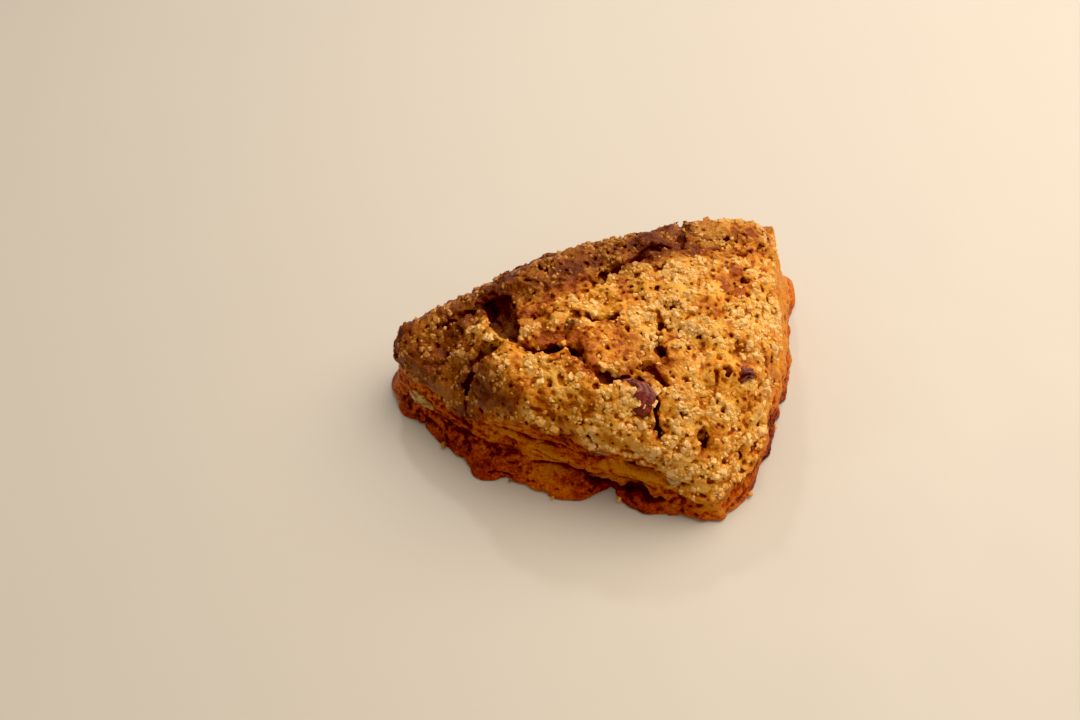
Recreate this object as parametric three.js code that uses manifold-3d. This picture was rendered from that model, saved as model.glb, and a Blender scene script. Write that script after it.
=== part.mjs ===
// A wedge scone: one eighth of a round of rough dough, baked under coarse sugar, with dried berries and nuts.
// Millimetres. +X runs from the cut tip to the round's outer edge, +Y across it, +Z up. It stands on z = 0.
import * as THREE from "three";
import { mergeVertices } from "three/addons/utils/BufferGeometryUtils.js";
import Module from "manifold-3d";

const wasm = await Module();
wasm.setup();

// ---------------------------------------------------------------- driving dimensions

const HEIGHT = 33; // crust above the plate, in the middle
const TIP_DROP = 10; // how much lower the cut tip is
const TIP_CLIMB = { front: [-40, -24], back: [-50, -8], slant: 0.25 }; // where the crust climbs from the tip
const BACK_ZONE = [-8, 2]; // across the wedge, where the front's climb gives way to the back's
const CORNER_SAG = 12; // how much the front corner slumped
const SAG_CENTRE = [30, -38];
const SAG_SPAN = 18;
const OUTER_DROP = 4; // how much the crust falls towards the round's outer edge
const OUTER_ZONE = [30, 50]; // where along the wedge the outer edge's own forms set in
const FOOT_HEIGHT = 4; // the browned foot that spread on the tray
const FOOT_UNDERCUT = 0.8; // how much the foot draws in where it meets the tray
const EAVE = 1.8; // how far the sugared crust stands out over the front cut
const EAVE_BAND = [1, 6]; // over what depth below the crust
const FRONT_ZONE = { from: -25, to: 10, slant: 0.3 }; // where the front's own forms fade, across the wedge
const FRONT_ROUND = { band: 14, drop: 12.5 }; // how the crust's edge turns down along the front cut
const BACK_ROUND = { band: 7, drop: 7 }; // and along the back cut
const OUTER_LEAN = 0.16; // how much the outer side leans in, per millimetre of height above this one
const LEAN_HEIGHT = 12;
const OUTER_BULGE = { z: 9, out: 2.6, thick: 6.5 }; // and how it swells below that
const GAP = 0.35; // clearance between an inclusion and its pocket

// The side at mid height and the spread foot below it, from above, in pairs that face each other: the cut
// tip, the front cut, the front corner, the outer edge, the back corner, the back cut.
const PROFILE = [
  { wall: [-50.8, -1.5], foot: [-55.5, -1] },
  { wall: [-45.5, -9.5], foot: [-48.5, -11.5] },
  { wall: [-27, -22], foot: [-31, -26.5] },
  { wall: [-6, -29.5], foot: [-8, -35.5] },
  { wall: [12, -34], foot: [12, -38.5] },
  { wall: [26, -38], foot: [28, -42.5] },
  { wall: [33.5, -31.5], foot: [37, -36] },
  { wall: [40.5, -16], foot: [44.5, -18] },
  { wall: [44.5, 0], foot: [50, 0] },
  { wall: [46.8, 17], foot: [52, 17.5] },
  { wall: [46.8, 30.5], foot: [55.5, 35.5] },
  { wall: [42.5, 33.5], foot: [48, 39.5] },
  { wall: [22, 31], foot: [23, 35.5] },
  { wall: [-8, 20.2], foot: [-9, 23.5] },
  { wall: [-32, 10.2], foot: [-34, 12.5] },
  { wall: [-46, 5.6], foot: [-50, 7.5] },
];

// Where the foot bulged or was pinched: how far it reaches past the spread foot, and over what length.
const LOBES = [
  { at: [-47.5, -8], reach: 1.8, span: 4 },
  { at: [-25, -23.5], reach: 2.2, span: 6 },
  { at: [-7, -31], reach: 1.8, span: 6 },
  { at: [4, -33], reach: -4, span: 3.5 },
  { at: [14, -35], reach: 1.6, span: 5 },
  { at: [33, -34], reach: 0.4, span: 3 },
  { at: [39, -21], reach: 0.8, span: 5 },
  { at: [46, -5], reach: 0.6, span: 6 },
  { at: [52, 24], reach: -1.5, span: 5 },
  { at: [8, 26], reach: -2, span: 5 },
  { at: [-24, 13], reach: -1.6, span: 4 },
];

// Cracks in the crust from above: the line, the width of the opening and the depth.
const CRACKS = [
  { line: [[-30.5, 2.6], [-26, 2.6], [-22.8, -3], [-20, -9.5], [-17, -13]], width: 8, depth: 7 },
  { line: [[-18, -12], [-13, -15], [-9, -15.7], [-6, -14.4], [-3, -16.8], [1, -21.5]], width: 3.4, depth: 7 },
  { line: [[-1, -19], [2.5, -22.4], [5.7, -23.3], [10, -22.3], [13.2, -23.4]], width: 3, depth: 5 },
  { line: [[12, -22], [14.6, -26], [14.9, -29], [15.8, -32], [16.2, -35]], width: 3, depth: 6 },
  { line: [[-17, -13.6], [-25.2, -13.8], [-28.3, -16.3], [-30.5, -21]], width: 3, depth: 5 },
  { line: [[-38, -1.4], [-35, -0.4], [-32, 0.8], [-28.5, 2.4]], width: 2, depth: 3 },
  { line: [[-6, -14.5], [-6, -10.4], [-5.4, -7.9], [-3, -5]], width: 2.8, depth: 4 },
  { line: [[-11.5, -7], [-8.8, -3.8], [-3, -3.8], [2.8, -6.3], [9.6, -2.7]], width: 2.2, depth: 3 },
  { line: [[15.6, -3.5], [16.2, -8.1], [15.7, -12], [17.5, -17.5]], width: 2.2, depth: 3 },
  { line: [[-5, 6.1], [1, 6.1], [3.4, 9.2], [10.3, 13.4], [15, 17.2], [19, 17]], width: 2.4, depth: 3.5 },
  { line: [[22, 17], [22.3, 20.4], [21.9, 24], [22, 34]], width: 2.4, depth: 3 },
  { line: [[34.5, 9], [37.5, 7], [39.8, 8.9], [42, 11.5]], width: 2, depth: 2.5 },
  { line: [[27.5, -29.5], [25.8, -31], [24, -31.5]], width: 2.6, depth: 3 },
  { line: [[10, -20.8], [13.2, -19.4], [18, -22.8]], width: 1.8, depth: 3 },
];
const CRACK_STEP = 2.2; // spacing of the sections of a crack
const CRACK_RAGGEDNESS = { share: 0.35, length: 2.5 }; // how its width comes and goes along it
const CRACK_SWAY = { share: 0.35, length: 3, shift: 5 }; // how its bottom strays from its middle
const CRACK_TAPER = { end: 0.25, length: 0.3 }; // how much of it is left at its ends, and where it is whole
const CUTTER_LIFT = 4; // how far a crack's cutter rises clear of the crust

// Layers of the folded dough that show on the side, as ledges: height above the plate, reach and thickness.
const LEDGES = [
  { z: 8.5, out: 1, thick: 1.7 },
  { z: 12.5, out: -1, thick: 1.4 },
  { z: 17, out: 0.8, thick: 1.8 },
];
const LEDGE_WAVE = { height: 1.5, length: 14, slice: 3 }; // how the ledges rise and fall along the side
const LEDGE_FADE = 3; // they fade out over this depth below the crust

const CRAG_SIZE = 6.5; // the crags of the crust and of the side
const CRAG_HEIGHT = 1.2;
const SIDE_CRAG_HEIGHT = 0.7;
const SIDE_CRAG_SQUASH = 1.4; // the side's crags are this many times longer than they are high
const SMALL_CRAGS = { share: 0.6, shift: 9 }; // crags of half the size on top of them

const COLUMNS = 48; // squares along the wedge, across it and up its side
const ROWS = 30;
const STOREYS = 10;

const GRAIN_SPACING = 7.4; // coarse sugar crystals, fused to the crust
const GRAIN_SIZE = 1.5;
const GRAIN_VARIETY = [0.8, 1.2]; // shares of that size
const GRAIN_SHAPE = [1, 0.85, 0.75]; // sides, as shares of a grain's size
const GRAIN_LIFT = 0.2; // how far its middle stands above the crust, as a share of its size
const GRAIN_FIELD = { x: [-52, 52], y: [-42, 40] };
const GRAIN_INSET = 3; // from the edge
const GRAIN_SEED = 7;
const CRACK_LIP = 0.8; // a place this far below the crust lies in a crack

const DOUGH = { roughness: 0.8, colour: 0xc08a4a };

// What is baked into it, as wrinkled lumps: half sizes, centre, and turn about each axis.
const BERRY = { roughness: 0.35, wrinkle: 0.25, colour: 0x5e1512 };
const NUT = { roughness: 0.6, wrinkle: 0.15, colour: 0xa07436 };
const LUMP_SIDES = [12, 8]; // round it and from end to end
const FOLDS = 2.2; // how many wrinkles a lump has across it, about
const INCLUSIONS = [
  { name: "berry_front", kind: BERRY, radii: [5, 2.6, 2.6], place: [11, -26.7, 27.9], turn: [0, 0.3, -1.1] },
  { name: "berry_crack", kind: BERRY, radii: [3.2, 2.2, 2.4], place: [-0.9, -18.6, 30], turn: [0, 0, -0.6] },
  { name: "berry_outer", kind: BERRY, radii: [2.6, 2, 1.6], place: [35.6, -18, 26.4], turn: [0, 0.3, 0.3] },
  { name: "nut_tip", kind: NUT, radii: [4.6, 2, 2.4], place: [-43, -11, 7], turn: [0, -0.3, -0.72] },
  { name: "nut_front", kind: NUT, radii: [4.2, 2, 1.3], place: [4.5, -32.4, 16.5], turn: [0, 0, -0.25] },
  { name: "nut_corner", kind: NUT, radii: [1.6, 2, 3], place: [19.6, -36.6, 11.5], turn: [0, 0.4, 0] },
];

// ---------------------------------------------------------------- helpers

const WELD = 1e-4; // points closer than this are one
const ON_EDGE = 1e-6; // a share this close to 1 is 1

const clamp01 = (t) => Math.min(1, Math.max(0, t));
const smooth = (a, b, x) => {
  const t = clamp01((x - a) / (b - a));
  return t * t * (3 - 2 * t);
};
const lerp = (a, b, t) => a + (b - a) * t;
const bell = (distance, span) => Math.exp(-((distance / span) ** 2));

// Smooth noise from -1 to 1, from a hash of the corners of a unit lattice.
function latticeNoise(x, y, z) {
  const [i, j, k] = [Math.floor(x), Math.floor(y), Math.floor(z)];
  const [u, v, w] = [smooth(0, 1, x - i), smooth(0, 1, y - j), smooth(0, 1, z - k)];
  const corner = (a, b, c) => {
    const h = Math.sin((i + a) * 127.1 + (j + b) * 311.7 + (k + c) * 74.7) * 43758.5453;
    return 2 * (h - Math.floor(h)) - 1;
  };
  const edge = (b, c) => lerp(corner(0, b, c), corner(1, b, c), u);
  return lerp(lerp(edge(0, 0), edge(1, 0), v), lerp(edge(0, 1), edge(1, 1), v), w);
}

const crags = (x, y, z) =>
  latticeNoise(x / CRAG_SIZE, y / CRAG_SIZE, z / CRAG_SIZE) +
  SMALL_CRAGS.share *
    latticeNoise((2 * x) / CRAG_SIZE + SMALL_CRAGS.shift, (2 * y) / CRAG_SIZE, (2 * z) / CRAG_SIZE);

// Pseudo-random numbers from 0 to 1, the same on every run.
function randomNumbers(seed) {
  let state = seed;
  return () => {
    state = (state * 16807) % 2147483647;
    return state / 2147483647;
  };
}

// ---------------------------------------------------------------- the scone's form

const pointsOf = (line) => line.map(([x, y]) => new THREE.Vector3(x, y, 0));
const closedCurve = (line) => new THREE.CatmullRomCurve3(pointsOf(line), true, "catmullrom");
const wallCurve = closedCurve(PROFILE.map((p) => p.wall));
const footCurve = closedCurve(PROFILE.map((p) => p.foot));

// The side's line at a share of the way round it, its outward direction, and the way to the foot.
function sideAt(share) {
  const t = share - Math.floor(share);
  const wall = wallCurve.getPoint(t);
  const ahead = wallCurve.getTangent(t);
  const foot = footCurve.getPoint(t).sub(wall);
  return { x: wall.x, y: wall.y, nx: ahead.y, ny: -ahead.x, footX: foot.x, footY: foot.y };
}

const WALL_STEPS = 320;
const wallPoints = Array.from({ length: WALL_STEPS }, (_, i) => wallCurve.getPoint(i / WALL_STEPS));

function isInside(x, y) {
  let inside = false;
  wallPoints.forEach((a, i) => {
    const b = wallPoints[(i + 1) % WALL_STEPS];
    if (a.y > y !== b.y > y && x < ((b.x - a.x) * (y - a.y)) / (b.y - a.y) + a.x) inside = !inside;
  });
  return inside;
}

// Distance in from the side's line, below zero outside it.
function wallInset(x, y) {
  const away = Math.min(...wallPoints.map((p) => Math.hypot(x - p.x, y - p.y)));
  return isInside(x, y) ? away : -away;
}

const frontShare = (x, y) => 1 - smooth(FRONT_ZONE.from, FRONT_ZONE.to, y - FRONT_ZONE.slant * x);
const eaveAt = (x, y) => EAVE * frontShare(x, y);

// The crust before its edge turns down: level in the middle, low at the tip and the front corner. The tip
// climbs slowly along the back cut, and in one step along the front.
function crest(x, y) {
  const back = smooth(...BACK_ZONE, y);
  const [low, high] = [0, 1].map((end) => lerp(TIP_CLIMB.front[end], TIP_CLIMB.back[end], back));
  const climb = smooth(low, high, x + TIP_CLIMB.slant * y);
  const corner = bell(Math.hypot(x - SAG_CENTRE[0], y - SAG_CENTRE[1]), SAG_SPAN);
  return HEIGHT - TIP_DROP * (1 - climb) - CORNER_SAG * corner - OUTER_DROP * smooth(...OUTER_ZONE, x);
}

// The edge turns down over a wide band along the front cut and a narrow one along the back.
function turnDown(x, y) {
  const inset = Math.max(wallInset(x, y) + eaveAt(x, y), 0);
  const front = frontShare(x, y);
  const t = 1 - clamp01(inset / lerp(BACK_ROUND.band, FRONT_ROUND.band, front));
  return lerp(BACK_ROUND.drop, FRONT_ROUND.drop, front) * (1 - Math.sqrt(1 - t * t));
}

const crustHeight = (x, y) => crest(x, y) - turnDown(x, y) + CRAG_HEIGHT * crags(x, y, 0);

// How far the side stands out from its line at a height, not counting the foot: ledges, eave, the outer
// side's lean and swell, and crags.
function sideRelief(x, y, z, top) {
  const { height, length, slice } = LEDGE_WAVE;
  const layer = z + height * latticeNoise(x / length, y / length, slice);
  const ledges = LEDGES.reduce((sum, l) => sum + l.out * bell(layer - l.z, l.thick), 0);
  const eave = eaveAt(x, y) * smooth(top - EAVE_BAND[1], top - EAVE_BAND[0], z);
  const swell = OUTER_BULGE.out * bell(z - OUTER_BULGE.z, OUTER_BULGE.thick);
  const outer = (swell - OUTER_LEAN * Math.max(z - LEAN_HEIGHT, 0)) * smooth(...OUTER_ZONE, x);
  const relief = SIDE_CRAG_HEIGHT * crags(x, y, SIDE_CRAG_SQUASH * z);
  return ledges * smooth(top, top - LEDGE_FADE, z) + eave + outer + relief;
}

function sidePoint(side, z, top) {
  const { x, y, nx, ny, footX, footY } = side;
  const spread = bell(z, FOOT_HEIGHT);
  const lobeAt = (l) => l.reach * bell(Math.hypot(x - l.at[0], y - l.at[1]), l.span);
  const lobes = LOBES.reduce((sum, lobe) => sum + lobeAt(lobe), 0);
  const out = lobes * spread + sideRelief(x, y, z, top) - (z === 0 ? FOOT_UNDERCUT : 0);
  return { x: x + footX * spread + out * nx, y: y + footY * spread + out * ny };
}

// ---------------------------------------------------------------- the dough, from a box with many squares

// The wedge's corners, where the box's upright edges land, counted in pairs of PROFILE.
const CORNERS = { tipFront: 0.6, front: 5.4, outer: 10.5, tipBack: 15.4 };

// How much of the way round the side a point of the box's edge lands, as a share.
function shareOf(u, v) {
  const [tipFront, front, outer, tipBack] = Object.values(CORNERS).map((pair) => pair / PROFILE.length);
  if (v === -1) return lerp(tipFront, front, (u + 1) / 2);
  if (u === 1) return lerp(front, outer, (v + 1) / 2);
  if (v === 1) return lerp(outer, tipBack, (1 - u) / 2);
  return lerp(tipBack, 1 + tipFront, (1 - v) / 2);
}

const MIDDLE = { x: 8, y: 0, nx: 0, ny: 0, footX: 0, footY: 0 };
const EDGE_CROWDING = 1.3; // brings the squares of the top closer together at its edge

function doughGeometry() {
  const box = new THREE.BoxGeometry(2, 2, 1, COLUMNS, ROWS, STOREYS);
  box.translate(0, 0, 0.5);
  box.deleteAttribute("normal");
  box.deleteAttribute("uv");
  const dough = mergeVertices(box, WELD);
  const at = dough.attributes.position;
  for (let i = 0; i < at.count; i++) {
    const [u, v, storey] = [at.getX(i), at.getY(i), at.getZ(i)];
    const ring = Math.max(Math.abs(u), Math.abs(v));
    const snap = (t) => (Math.abs(Math.abs(t / ring) - 1) < ON_EDGE ? Math.sign(t) : t / ring);
    const side = ring > 0 ? sideAt(shareOf(snap(u), snap(v))) : MIDDLE;
    const eave = eaveAt(side.x, side.y);
    const top = crustHeight(side.x + eave * side.nx, side.y + eave * side.ny);
    const edge = sidePoint(side, storey * top, top);
    if (ring > 1 - ON_EDGE) {
      at.setXYZ(i, edge.x, edge.y, storey * top);
      continue;
    }
    if (storey < 0.5) {
      // The bottom is a fan of flat faces round one point: its inner squares all shrink to that point.
      at.setXYZ(i, MIDDLE.x, MIDDLE.y, 0);
      continue;
    }
    const spread = 1 - (1 - ring) ** EDGE_CROWDING;
    const x = lerp(MIDDLE.x, edge.x, spread);
    const y = lerp(MIDDLE.y, edge.y, spread);
    at.setXYZ(i, x, y, crustHeight(x, y));
  }
  return dough;
}

// ---------------------------------------------------------------- solids

function solidOf(geometry) {
  const bare = geometry.clone();
  bare.deleteAttribute("normal");
  bare.deleteAttribute("uv");
  const closed = mergeVertices(bare, WELD);
  const faces = [];
  for (let i = 0; i < closed.index.count; i += 3) {
    const [a, b, c] = closed.index.array.subarray(i, i + 3);
    if (a !== b && b !== c && c !== a) faces.push(a, b, c);
  }
  return new wasm.Manifold(
    new wasm.Mesh({
      numProp: 3,
      vertProperties: new Float32Array(closed.attributes.position.array),
      triVerts: new Uint32Array(faces),
    }),
  );
}

function geometryOf(solid) {
  const mesh = solid.getMesh();
  const corners = new Float32Array(mesh.numVert * 3);
  for (let i = 0; i < mesh.numVert; i++)
    corners.set(mesh.vertProperties.subarray(i * mesh.numProp, i * mesh.numProp + 3), i * 3);
  const geometry = new THREE.BufferGeometry();
  geometry.setAttribute("position", new THREE.BufferAttribute(corners, 3));
  geometry.setIndex(new THREE.BufferAttribute(mesh.triVerts, 1));
  geometry.computeVertexNormals();
  return geometry;
}

// A crack's cutter: a V in section, swept along the crack's line, to its depth below the crust at each point.
function crackGeometry({ line, width, depth }) {
  const path = new THREE.CatmullRomCurve3(pointsOf(line));
  const sections = Math.ceil(path.getLength() / CRACK_STEP);
  const corners = [];
  const faces = [];
  for (let i = 0; i <= sections; i++) {
    const { x, y } = path.getPointAt(i / sections);
    const ahead = path.getTangentAt(i / sections);
    const { share, length } = CRACK_RAGGEDNESS;
    const ragged = 1 + share * latticeNoise(x / length, y / length, width);
    const toEnd = Math.min(i, sections - i) / sections;
    const taper = lerp(CRACK_TAPER.end, 1, smooth(0, CRACK_TAPER.length, toEnd));
    const half = 0.5 * width * ragged * taper;
    const crust = crustHeight(x, y);
    const stray = latticeNoise(x / CRACK_SWAY.length + CRACK_SWAY.shift, y / CRACK_SWAY.length, 1);
    const sway = CRACK_SWAY.share * half * stray;
    const flare = half * (1 + CUTTER_LIFT / depth);
    corners.push(x - flare * ahead.y, y + flare * ahead.x, crust + CUTTER_LIFT);
    corners.push(x + flare * ahead.y, y - flare * ahead.x, crust + CUTTER_LIFT);
    corners.push(x + sway, y + sway, crust - depth * taper);
    if (i === sections) continue;
    const [a, b] = [3 * i, 3 * i + 3];
    for (const [p, q] of [[0, 1], [1, 2], [2, 0]]) faces.push(a + p, a + q, b + p, a + q, b + q, b + p);
  }
  const last = 3 * sections;
  faces.push(0, 2, 1, last, last + 1, last + 2);
  const cutter = new THREE.BufferGeometry();
  cutter.setAttribute("position", new THREE.BufferAttribute(new Float32Array(corners), 3));
  cutter.setIndex(faces);
  return cutter;
}

// A wrinkled lump: an ellipsoid with soft folds, grown by a clearance when it cuts its own pocket.
function lumpGeometry({ kind, radii, place, turn }, grow = 0) {
  const lump = new THREE.SphereGeometry(1, ...LUMP_SIDES);
  const at = lump.attributes.position;
  for (let i = 0; i < at.count; i++) {
    const [x, y, z] = [at.getX(i), at.getY(i), at.getZ(i)];
    const folds = 1 + kind.wrinkle * latticeNoise(FOLDS * x + place[0], FOLDS * y + place[1], FOLDS * z);
    at.setXYZ(i, x * (radii[0] * folds + grow), y * (radii[1] * folds + grow), z * (radii[2] * folds + grow));
  }
  lump.rotateX(turn[0]);
  lump.rotateY(turn[1]);
  lump.rotateZ(turn[2]);
  lump.translate(...place);
  return lump;
}

// ---------------------------------------------------------------- coarse sugar

// One crystal every so often on the crust, on a jittered grid, away from the edge and the inclusions.
// A plumb line finds the face each one lies on, so that none hangs clear of it; none lies down in a crack.
function sugarGrains(crust) {
  const target = new THREE.Mesh(geometryOf(crust), new THREE.MeshBasicMaterial());
  const down = new THREE.Vector3(0, 0, -1);
  const plumb = new THREE.Raycaster();
  const random = randomNumbers(GRAIN_SEED);
  const grains = [];
  const [fromX, toX] = GRAIN_FIELD.x;
  const [fromY, toY] = GRAIN_FIELD.y;
  for (let gx = fromX; gx < toX; gx += GRAIN_SPACING)
    for (let gy = fromY; gy < toY; gy += GRAIN_SPACING) {
      const x = gx + GRAIN_SPACING * random();
      const y = gy + GRAIN_SPACING * random();
      const size = GRAIN_SIZE * lerp(...GRAIN_VARIETY, random());
      const turn = [random(), random(), random()].map((t) => Math.PI * t);
      if (wallInset(x, y) < GRAIN_INSET) continue;
      const isNear = ({ place, radii }) => Math.hypot(x - place[0], y - place[1]) < radii[0] + GRAIN_SIZE;
      if (INCLUSIONS.some(isNear)) continue;
      plumb.set(new THREE.Vector3(x, y, 2 * HEIGHT), down);
      const { point } = plumb.intersectObject(target)[0];
      if (point.z < crustHeight(x, y) - CRACK_LIP) continue;
      const crystal = new THREE.BoxGeometry(...GRAIN_SHAPE.map((share) => size * share));
      crystal.rotateX(turn[0]);
      crystal.rotateY(turn[1]);
      crystal.rotateZ(turn[2]);
      crystal.translate(x, y, point.z + GRAIN_LIFT * size);
      grains.push(solidOf(crystal));
    }
  return grains;
}

// ---------------------------------------------------------------- the part

const group = new THREE.Group();

function addPiece(name, geometry, colour, roughness) {
  const material = new THREE.MeshStandardMaterial({ color: colour, roughness, metalness: 0 });
  const piece = new THREE.Mesh(geometry, material);
  piece.name = name;
  group.add(piece);
}

const whole = solidOf(doughGeometry());
const cracked = whole.subtract(wasm.Manifold.union(CRACKS.map((crack) => solidOf(crackGeometry(crack)))));
const sugared = wasm.Manifold.union([cracked, ...sugarGrains(cracked)]);
const pockets = wasm.Manifold.union(INCLUSIONS.map((lump) => solidOf(lumpGeometry(lump, GAP))));
const pocketed = sugared.subtract(pockets);

// Where cracks cross, a sliver can come loose: the scone is the one large body.
const scone = pocketed.decompose().sort((a, b) => b.volume() - a.volume())[0];

addPiece("scone", geometryOf(scone), DOUGH.colour, DOUGH.roughness);
for (const lump of INCLUSIONS)
  addPiece(lump.name, lumpGeometry(lump), lump.kind.colour, lump.kind.roughness);

// The origin is under the middle of the whole part.
const bounds = new THREE.Box3().setFromObject(group);
const middle = bounds.getCenter(new THREE.Vector3());
group.children.forEach((piece) => piece.geometry.translate(-middle.x, -middle.y, -bounds.min.z));

export default group;
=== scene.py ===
"""The looks of a wedge scone: rough dough under a cracked crust of coarse sugar, with dried berries and nuts.

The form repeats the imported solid's own dimensions, in millimetres, and is worked out again on a fine grid,
with the crumb, pits, torn edges and layers that the solid's triangles leave out. Everything is turned into
metres when it is made.
"""

from types import SimpleNamespace

import bmesh
import bpy
import numpy as np
import openvdb
from mathutils import Matrix, Vector


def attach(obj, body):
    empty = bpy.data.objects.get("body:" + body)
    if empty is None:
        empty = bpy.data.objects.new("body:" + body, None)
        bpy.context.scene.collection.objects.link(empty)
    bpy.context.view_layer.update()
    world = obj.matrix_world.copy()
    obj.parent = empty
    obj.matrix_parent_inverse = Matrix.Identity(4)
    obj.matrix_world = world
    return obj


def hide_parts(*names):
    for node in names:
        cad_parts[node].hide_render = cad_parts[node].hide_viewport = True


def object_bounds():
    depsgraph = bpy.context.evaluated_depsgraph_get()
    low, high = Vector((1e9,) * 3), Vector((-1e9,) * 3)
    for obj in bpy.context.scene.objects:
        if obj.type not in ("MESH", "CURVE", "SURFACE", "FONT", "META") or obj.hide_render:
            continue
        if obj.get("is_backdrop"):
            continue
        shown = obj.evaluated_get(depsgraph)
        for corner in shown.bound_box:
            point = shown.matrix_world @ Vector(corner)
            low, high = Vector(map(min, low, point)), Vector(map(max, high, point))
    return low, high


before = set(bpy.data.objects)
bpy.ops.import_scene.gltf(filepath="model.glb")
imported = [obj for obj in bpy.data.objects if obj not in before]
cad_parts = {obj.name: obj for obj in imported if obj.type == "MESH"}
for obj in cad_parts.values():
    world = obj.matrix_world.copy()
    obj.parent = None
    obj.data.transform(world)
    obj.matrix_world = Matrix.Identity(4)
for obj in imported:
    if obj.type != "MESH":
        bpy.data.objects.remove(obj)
cad_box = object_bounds()

# ---- driving dimensions, in millimetres

MM = 0.001
PITCH = 0.42  # of the grid that the dough is worked out on
GRID = ((-59.0, -46.0, -1.3), (59.0, 43.0, 38.0))  # its low and high corners
MOST_TRIANGLES = 190_000

HEIGHT = 33.0  # of the crust in the middle
TIP_DROP = 10.0  # how much lower the cut tip is
TIP_CLIMB = ((-40.0, -24.0), (-50.0, -8.0))  # where the crust climbs from the tip, in front and at the back
TIP_SLANT = 0.25
BACK_ZONE = (-8, 2)  # across the wedge, where the front's climb gives way to the back's
CORNER_SAG = 12.0  # how much the front corner slumped
SAG_CENTRE = (30.0, -38.0)
SAG_SPAN = 18.0
OUTER_DROP = 4.0  # how much the crust falls towards the round's outer edge
OUTER_DROP_ZONE = (25, 50)
OUTER_ZONE = (30, 50)  # where along the wedge the outer edge's own forms set in
FRONT_ZONE = (-25, 10, 0.3)  # where the front's own forms fade, across the wedge, and their slant
FOOT_HEIGHT = 4.0  # the browned foot that spread on the tray
EAVE = 1.8  # how far the sugared crust stands out over the front cut
EAVE_BAND = (6, 1)  # over what depth below the crust
FRONT_ROUND = (14.0, 12.5)  # band and drop of the crust's edge along the front cut
BACK_ROUND = (7.0, 7.0)  # and along the back cut
STEEPEST = 3  # slopes of the crust are taken as no steeper than this
OUTER_LEAN = 0.16  # how much the outer side leans in, per millimetre of height above the next one
LEAN_HEIGHT = 12.0
OUTER_BULGE = (9.0, 2.6, 6.5)  # height, reach and thickness of its swelling
MIDDLE = (-0.31, -1.72)  # the middle of the part's box, in the coordinates of the outline below
BOX = np.array(cad_box) / MM + [*MIDDLE, 0]  # the solid's box in them, which nothing may stand out of
BOX_MARGIN = 0.1

# The side at mid height and the spread foot below it, in pairs, from above.
PROFILE = [
    ((-50.8, -1.5), (-55.5, -1)), ((-45.5, -9.5), (-48.5, -11.5)),
    ((-27, -22), (-31, -26.5)), ((-6, -29.5), (-8, -35.5)),
    ((12, -34), (12, -38.5)), ((26, -38), (28, -42.5)),
    ((33.5, -31.5), (37, -36)), ((40.5, -16), (44.5, -18)),
    ((44.5, 0), (50, 0)), ((46.8, 17), (52, 17.5)),
    ((46.8, 30.5), (55.5, 35.5)), ((42.5, 33.5), (48, 39.5)),
    ((22, 31), (23, 35.5)), ((-8, 20.2), (-9, 23.5)),
    ((-32, 10.2), (-34, 12.5)), ((-46, 5.6), (-50, 7.5)),
]

# Where the foot bulged or was pinched: place, reach and span.
LOBES = [
    ((-47.5, -8), 1.8, 4), ((-25, -23.5), 2.2, 6), ((-7, -31), 1.8, 6),
    ((4, -33), -4, 3.5), ((14, -35), 1.6, 5), ((33, -34), 0.4, 3),
    ((39, -21), 0.8, 5), ((46, -5), 0.6, 6), ((52, 24), -1.5, 5),
    ((8, 26), -2, 5), ((-24, 13), -1.6, 4),
]

# Layers of the folded dough, as ledges of the side: height, reach and thickness.
LEDGES = [(8.5, 1.0, 1.7), (12.5, -1.0, 1.4), (17.0, 0.8, 1.8)]
LEDGE_WAVE = (1.5, 14, 3)  # how they rise and fall: height, length and slice of the noise
LEDGE_FADE = 3  # they fade out over this depth below the crust

# Cracks in the crust: line, width and depth.
CRACKS = [
    ([(-30.5, 2.6), (-26, 2.6), (-22.8, -3), (-20, -9.5), (-17, -13)], 8.0, 6.5),
    ([(-18, -12), (-13, -15), (-9, -15.7), (-6, -14.4), (-3, -16.8), (1, -21.5)], 3.4, 7.0),
    ([(-1, -19), (2.5, -22.4), (5.7, -23.3), (10, -22.3), (13.2, -23.4)], 3.0, 5.0),
    ([(12, -22), (14.6, -26), (14.9, -29), (15.8, -32), (16.2, -34)], 2.4, 5.0),
    ([(-17, -13.6), (-25.2, -13.8), (-28.3, -16.3), (-30.5, -21)], 3.0, 5.0),
    ([(-38, -1.4), (-35, -0.4), (-32, 0.8), (-28.5, 2.4)], 2.6, 3.5),
    ([(-6, -14.5), (-6, -10.4), (-5.4, -7.9), (-3, -5)], 2.8, 4.0),
    ([(-11.5, -7), (-8.8, -3.8), (-3, -3.8), (2.8, -6.3), (9.6, -2.7)], 2.2, 3.0),
    ([(15.6, -3.5), (16.2, -8.1), (15.7, -12), (17.5, -17.5)], 2.2, 3.0),
    ([(-5, 6.1), (1, 6.1), (3.4, 9.2), (10.3, 13.4), (15, 17.2), (19, 17)], 2.4, 3.5),
    ([(22, 17), (22.3, 20.4), (21.9, 24), (22, 34)], 2.4, 3.0),
    ([(34.5, 9), (37.5, 7), (39.8, 8.9), (42, 11.5)], 2.0, 2.5),
    ([(10, -20.8), (13.2, -19.4), (18, -22.8)], 1.8, 3.0),
]

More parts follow.
